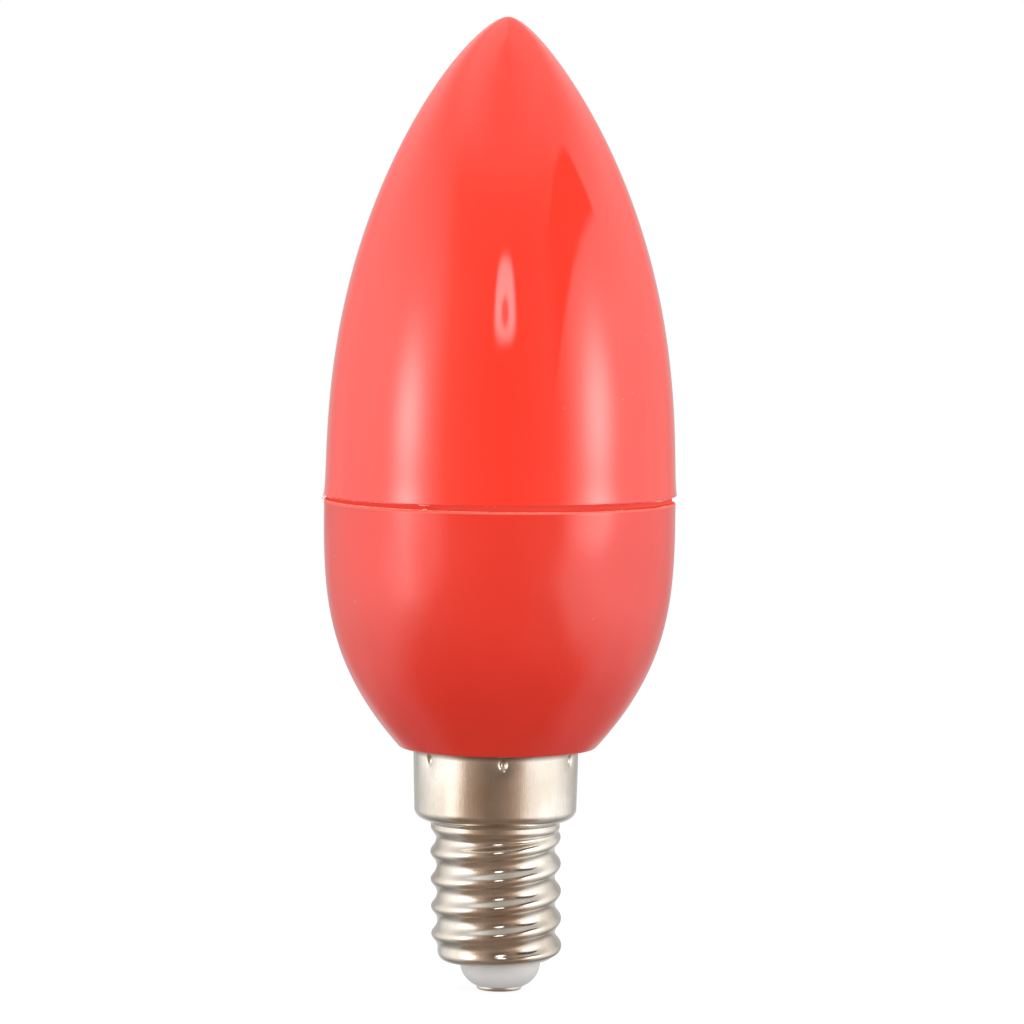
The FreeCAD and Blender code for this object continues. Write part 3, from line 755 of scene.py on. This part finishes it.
# Dome's ceiling at left and right, the black card's edges by azimuth, and the small ring lamp
CEILING_LEFT = 1.1
CEILING_RIGHT = 0.8
CARD_FOOT = ([30, 43, 50, 57, 68, 79, 91], [2, 16.5, 21.4, 24.8, 27.4, 28.1, 27.8])
CARD_TOP = (
    [30, 44, 51, 57, 70, 80, 84, 86, 88.4, 91],
    [30, 35, 38.1, 40.6, 41.3, 40.4, 37.6, 35.2, 31.8, 27.4],
)
CARD_GLOW = 0.09
RING_GLOW = 3.9
RING_AZIMUTH = 2.2
RING_ELEVATION = 22.9


def towards(azimuth, elevation):
    """The unit direction from the bulb at an azimuth to the right of the camera and an elevation."""
    turn, rise = np.radians(azimuth), np.radians(elevation)
    return np.stack([np.sin(turn) * np.cos(rise), -np.cos(turn) * np.cos(rise), np.sin(rise)], axis=-1)


def softbox(name, azimuth, elevation, width, height, radiance):
    """A rectangular lamp that faces the bulb and lights it without showing in reflections.

    Its power is its area times its radiance times pi.
    """
    lamp = bpy.data.lights.new(name, "AREA")
    lamp.shape = "RECTANGLE"
    lamp.size, lamp.size_y = width, height
    lamp.energy = math.pi * width * height * radiance
    box = bpy.data.objects.new(name, lamp)
    direction = Vector(towards(azimuth, elevation))
    box.location = MIDDLE + direction * LAMP_DISTANCE
    box.rotation_mode = "QUATERNION"
    box.rotation_quaternion = direction.to_track_quat("Z", "Y")
    box.visible_camera = False
    box.visible_glossy = False
    bpy.context.scene.collection.objects.link(box)


def between(value, low, high, soft_low, soft_high):
    """1 from low to high and 0 outside, with a smooth step as wide as given at each end."""
    return smooth((value - low) / soft_low + 0.5) * smooth((high - value) / soft_high + 0.5)


def bell(azimuth, elevation, centre, width, height):
    """A round falloff from 1 at a centre: e to the minus square of the distance in widths and heights."""
    return np.exp(-((azimuth - centre[0]) / width) ** 2 - ((elevation - centre[1]) / height) ** 2)


def studio_glow(azimuth, elevation):
    """How bright the studio is in each direction, as red, green and blue.

    A dark opening round the camera gives way on each side to a tall soft wall of light with a hot middle.
    Overhead is a dimmer ceiling, a black card hangs over the right wall, and a small lamp is above the camera.
    The tables run straight between their points. Walls, ceiling, card and lamp are blended over the rest by a
    share from 0 to 1, and the hot middles and the light at the back are added.
    """
    elevation = elevation / 1.08
    nearer = np.interp(elevation, *OPENING_NEARER)
    side = np.abs(azimuth)
    reach = side + np.where(azimuth < 0, nearer, OPENING_RIGHT - nearer)
    share = np.interp(reach - np.interp(elevation, *OPENING_INWARD), *WALL_SHARE)
    front = np.interp(elevation, *OPENING_GLOW)
    wall = np.interp(elevation, *WALL_GLOW)
    wall *= 1 - np.interp(side, *BEHIND_DIMMING) * (1 - smooth((elevation - 12) / 22))
    shade = front + (wall - front) * share
    shade *= 1 - CHIN_SHADE * bell(azimuth, elevation, (3, -32), 16, 18)
    shade += BACK_GLOW * smooth((side - 140) / 20) * between(elevation, -65, -16, 10, 10)
    warmth = (1 - share) * (1 - smooth((elevation - 36) / 12))
    ceiling = smooth((elevation - 40) / 14)
    shade += (np.where(azimuth < 0, CEILING_LEFT, CEILING_RIGHT) - shade) * ceiling * smooth((side - 5) / 85)
    aside = 0.45 * np.clip(-elevation - 4, 0, 26)
    tall = np.where(elevation > HOT_LEVEL, 9.5, 8.2)
    tail = 1 - 0.5 * smooth((-0.5 - elevation) / 7)
    hot = bell(azimuth, elevation, (HOT_LEFT - aside, HOT_LEVEL), 10.5, tall)
    hot += bell(azimuth, elevation, (HOT_RIGHT + aside, HOT_LEVEL), 11.5, tall * 1.15) * tail
    shade += HOT_GLOW * hot + HOT_LOW_GLOW * bell(azimuth, elevation, HOT_LOW_CENTRE, 10.5, 6.5)
    card_foot, card_top = np.interp(azimuth, *CARD_FOOT), np.interp(azimuth, *CARD_TOP)
    card = between(elevation, card_foot, card_top, 2.5, 1.4) * between(azimuth, 36, 92, 16, 4)
    shade += (CARD_GLOW - shade) * card
    up = (elevation - RING_ELEVATION) / 8.6
    across = (azimuth - RING_AZIMUTH) / (8.4 - 1.8 * up)
    lamp = smooth((1 - (np.abs(across)**3 + np.abs(up)**3) ** (1 / 3)) * 3)
    lamp *= 1 - 0.4 * np.clip(up**2, 0, 1)
    lamp -= 0.8 * smooth((0.38 - np.hypot(across, up + 0.25)) * 6)
    colour = shade[..., None] * (1 + warmth[..., None] * (WARM_TINT - 1))
    return colour + (RING_GLOW - colour) * np.clip(lamp, 0, 1)[..., None]


def glowing(name, attribute):
    """A plain glowing material, whose colour is an attribute of the mesh."""
    material = bpy.data.materials.new(name)
    material.use_nodes = True
    tree = material.node_tree
    tree.nodes.remove(tree.nodes["Principled BSDF"])
    colour = add(tree, "ShaderNodeAttribute", {"attribute_name": attribute}).outputs["Color"]
    glow = add(tree, "ShaderNodeEmission", Color=colour)
    feed(tree, tree.nodes["Material Output"], Surface=glow.outputs[0])
    material.cycles.emission_sampling = "NONE"
    return material


def make_dome():
    """The studio that the bulb reflects: a sphere round it, coloured at each point by the studio's glow."""
    azimuth, elevation = np.meshgrid(np.arange(-180, 181.0), np.arange(-90, 91.0))
    points = np.array(MIDDLE) + DOME_RADIUS * towards(azimuth, elevation)
    numbers = np.arange(azimuth.size).reshape(azimuth.shape)
    faces = np.stack([numbers[:-1, :-1], numbers[1:, :-1], numbers[1:, 1:], numbers[:-1, 1:]], axis=2)
    mesh = bpy.data.meshes.new("studio_dome")
    mesh.from_pydata(points.reshape(-1, 3), [], faces.reshape(-1, 4).tolist())
    colours = mesh.attributes.new("glow", "FLOAT_COLOR", "POINT")
    glow = np.ones((azimuth.size, 4))
    glow[:, :3] = studio_glow(azimuth, elevation).reshape(-1, 3)
    colours.data.foreach_set("color", glow.ravel())
    mesh.materials.append(glowing("studio_glow", "glow"))
    dome = bpy.data.objects.new("studio_dome", mesh)
    dome.visible_camera = False
    dome.visible_diffuse = False
    dome.visible_shadow = False
    dome.visible_transmission = False
    bpy.context.scene.collection.objects.link(dome)


def make_studio():
    """A tall box at each side and one overhead give the plain light, and the dome gives the reflections."""
    softbox("left_box", -62, 0, *SIDE_BOX)
    softbox("right_box", 62, 0, *SIDE_BOX)
    softbox("top_box", 0, 75, *TOP_BOX)
    make_dome()


def make_world():
    """White to the camera and in reflections, and a plainer level of light, darker from below, on all else."""
    world = bpy.data.worlds.new("white_studio")
    bpy.context.scene.world = world
    world.use_nodes = True
    tree = world.node_tree
    path = add(tree, "ShaderNodeLightPath").outputs
    seen = worked(tree, "MAXIMUM", path["Is Camera Ray"], path["Is Glossy Ray"])
    seen = worked(tree, "MAXIMUM", seen, path["Is Transmission Ray"])
    height = height_of(tree, add(tree, "ShaderNodeTexCoord").outputs["Generated"])
    ambient = spread(tree, height, -1, 1, AMBIENT_BELOW, AMBIENT_ABOVE)
    strength = add(tree, "ShaderNodeMapRange", Value=seen, n3=ambient, n4=1.0).outputs["Result"]
    feed(tree, tree.nodes["Background"], Color=(1, 1, 1, 1), Strength=strength)


# Floor, in metres: half its side, and where the lamp's shadow fades out
FLOOR_HALF = 6.0
SHADOW_FADE = (0.03, 0.12)


def make_floor():
    """A wide floor at the contact's end: white apart from the lamp's own shadow, and clear from below."""
    material, tree, shader, here = finish_of(
        "pale_floor", Base_Color=(0.25, 0.25, 0.25, 1), Roughness=0.9, Emission_Color=(1, 1, 1, 1),
        Emission_Strength=0.8,
    )
    glow = add(tree, "ShaderNodeEmission", Strength=1.0)
    far = add(tree, "ShaderNodeMapRange", {"interpolation_type": "SMOOTHSTEP"}, Value=length_of(tree, here),
              n1=SHADOW_FADE[0], n2=SHADOW_FADE[1])
    mix = add(tree, "ShaderNodeMixShader", n0=far.outputs[0], n1=shader.outputs[0], n2=glow.outputs[0])
    under = add(tree, "ShaderNodeNewGeometry").outputs["Backfacing"]
    clear = add(tree, "ShaderNodeBsdfTransparent")
    seen = add(tree, "ShaderNodeMixShader", n0=under, n1=mix.outputs[0], n2=clear.outputs[0])
    feed(tree, tree.nodes["Material Output"], Surface=seen.outputs[0])
    mesh = bpy.data.meshes.new("floor")
    signs = [(-1, -1), (1, -1), (1, 1), (-1, 1)]
    corners = [(across * FLOOR_HALF, away * FLOOR_HALF, 0) for across, away in signs]
    mesh.from_pydata(corners, [], [(0, 1, 2, 3)])
    mesh.materials.append(material)
    floor = bpy.data.objects.new("floor", mesh)
    floor.visible_diffuse = False
    floor.visible_glossy = False
    floor.visible_shadow = False
    bpy.context.scene.collection.objects.link(floor)


# Camera: near, level with the flame's upper half, rolled a little; lengths in metres, angles in degrees
CAMERA_DISTANCE = 0.58
CAMERA_ELEVATION = 3.95
CAMERA_ROLL = 0.55
CAMERA_TARGET = (0.00142, 0, 0.0492)
VIEW_WIDTH = 0.1048
SENSOR_WIDTH = 36


def make_camera():
    """Looks at its target from its distance. Its lens is the sensor's width times distance over view width."""
    camera = bpy.data.cameras.new("camera")
    camera.sensor_width = SENSOR_WIDTH
    camera.lens = SENSOR_WIDTH * CAMERA_DISTANCE / VIEW_WIDTH
    camera.clip_end = 20
    holder = bpy.data.objects.new("camera", camera)
    back = Vector(towards(0, CAMERA_ELEVATION))
    holder.location = Vector(CAMERA_TARGET) + back * CAMERA_DISTANCE
    holder.rotation_mode = "QUATERNION"
    roll = Quaternion((0, 0, 1), math.radians(CAMERA_ROLL))
    holder.rotation_quaternion = (-back).to_track_quat("-Z", "Y") @ roll
    bpy.context.scene.collection.objects.link(holder)
    bpy.context.scene.camera = holder


streaks, specks = make_streaks(), make_specks()
gloss, satin, torn = red_gloss(streaks, specks), red_satin(streaks, specks), torn_red()
cap_nickel = nickel(streaks, "cap_nickel", CAP_TONES, CAP_ROUGHNESS)
contact_nickel = nickel(streaks, "contact_nickel", CONTACT_TONES, CONTACT_ROUGHNESS)
white = white_plastic(streaks)

make_diffuser(gloss)
make_housing(satin)
make_screw_shell(cap_nickel)
make_insulator(white)
make_contact(contact_nickel)
flame_burr = make_burr("flame_burr", DIFFUSER_RADIUS, FLAME_RIM, JOINT_SKEW, -1, 5, FLAME_TUFTS, torn)
cup_burr = make_burr("cup_burr", HOUSING_RADIUS, JOINT, -JOINT_SKEW, 1, 9, CUP_TUFTS, torn)

make_studio()
make_world()
make_floor()
make_camera()
bpy.context.scene.view_settings.view_transform = "Standard"
